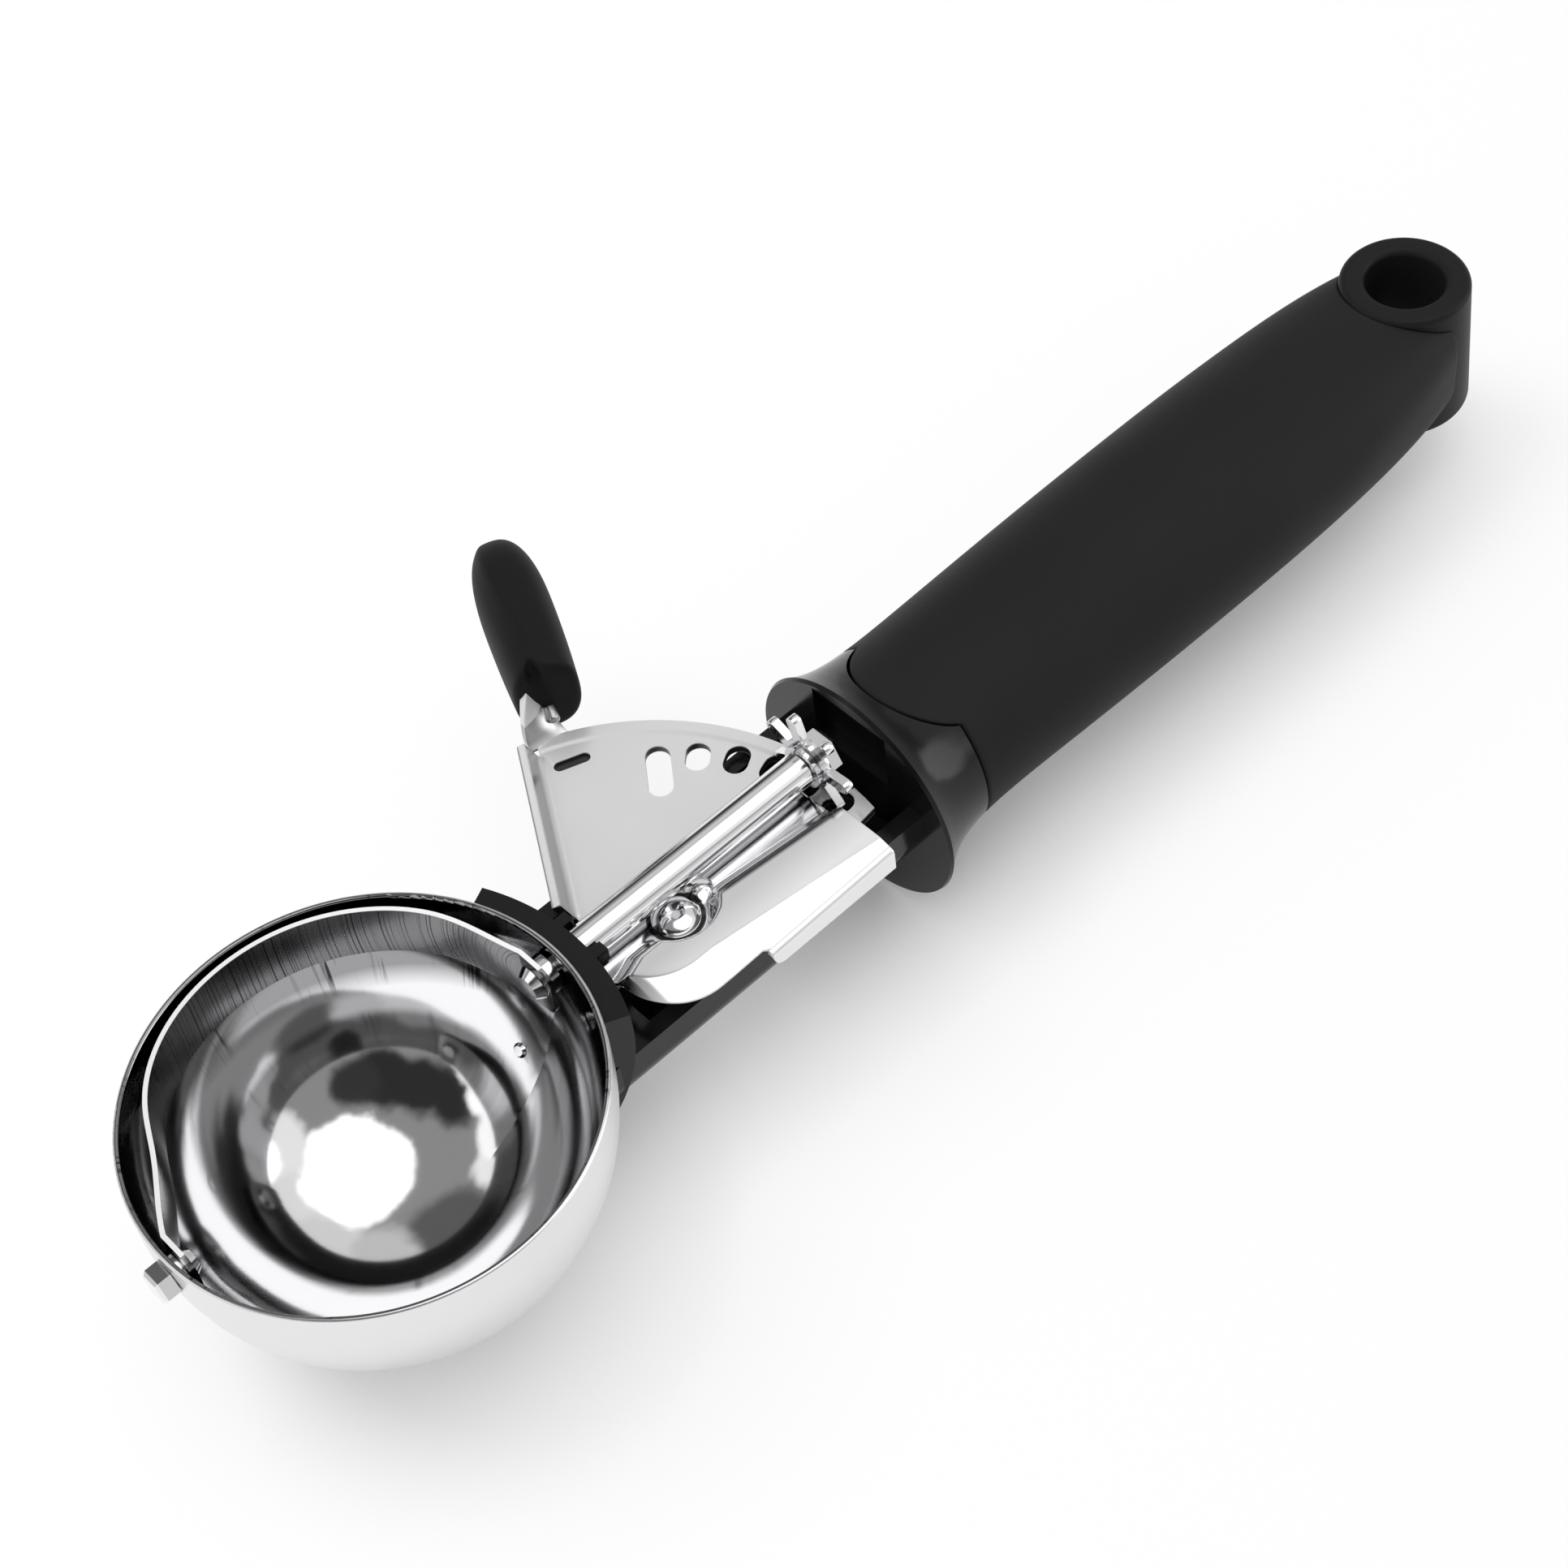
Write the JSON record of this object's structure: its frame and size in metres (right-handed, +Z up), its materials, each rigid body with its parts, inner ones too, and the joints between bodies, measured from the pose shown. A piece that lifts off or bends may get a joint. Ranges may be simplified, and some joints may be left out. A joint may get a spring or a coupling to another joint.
{
  "type": "ice cream scoop",
  "caption": "Thumb-lever ice cream scoop: round steel bowl, scraper blade turned by a slotted sector lever and finger pinion, black moulded neck, soft grip and hang eye.",
  "frame": {"origin": "middle of the hang hole, on the handle's centre line", "axes": "+Z up through the hang hole, toward the side that the bowl opens to; -X along the handle to the bowl; +Y toward the thumb pad"},
  "size_m": [0.2286, 0.0882, 0.0361],
  "materials": {
    "bowl_steel": "polished stainless steel with fine turned lines inside",
    "blade_steel": "bright rolled strip",
    "bright_steel": "bright plated steel",
    "sector_steel": "satin stamped sheet",
    "spring_steel": "drawn wire",
    "neck_plastic": "glossy black moulding",
    "core_plastic": "plain black moulding",
    "grip_rubber": "matte black with a fine pebble",
    "pad_rubber": "satin black",
    "eye_plastic": "satin black moulding"
  },
  "bodies": {
    "frame": {"bowl": "bowl_steel", "bowl_rivet": "bright_steel", "front_pivot_pin": "bright_steel", "front_spacer": "bright_steel", "bearing_tube": "bright_steel", "mechanism_plate": "bright_steel", "lever_rivet": "bright_steel", "lever_washer": "bright_steel", "return_spring": "spring_steel", "neck_frame": "neck_plastic", "handle_core": "core_plastic", "grip_sleeve": "grip_rubber", "hang_eye": "eye_plastic"},
    "lever": {"sector_lever": "sector_steel", "thumb_pad": "pad_rubber"},
    "scraper": {"scraper_blade": "blade_steel", "scraper_shaft": "bright_steel", "shaft_spacer": "bright_steel", "pinion": "bright_steel", "pinion_washer": "bright_steel", "pinion_cap": "bright_steel"}
  },
  "joints": [
    {"name": "lever_squeeze", "type": "hinge", "parent": "frame", "child": "lever", "pos_m": [-0.142, -0.003, 0.0043], "axis": [0, 0, -1], "range_deg": [0, 32], "stiffness_Nm_per_rad": 0.5, "springref_deg": -20.05},
    {"name": "scraper_turn", "type": "hinge", "parent": "frame", "child": "scraper", "pos_m": [-0.187, 0, 0.01], "axis": [-1, 0, 0], "range_deg": [0, 146.5]}
  ],
  "couplings": [
    {"joint": "scraper_turn", "follows": "lever_squeeze", "ratio": 4.5714}
  ]
}
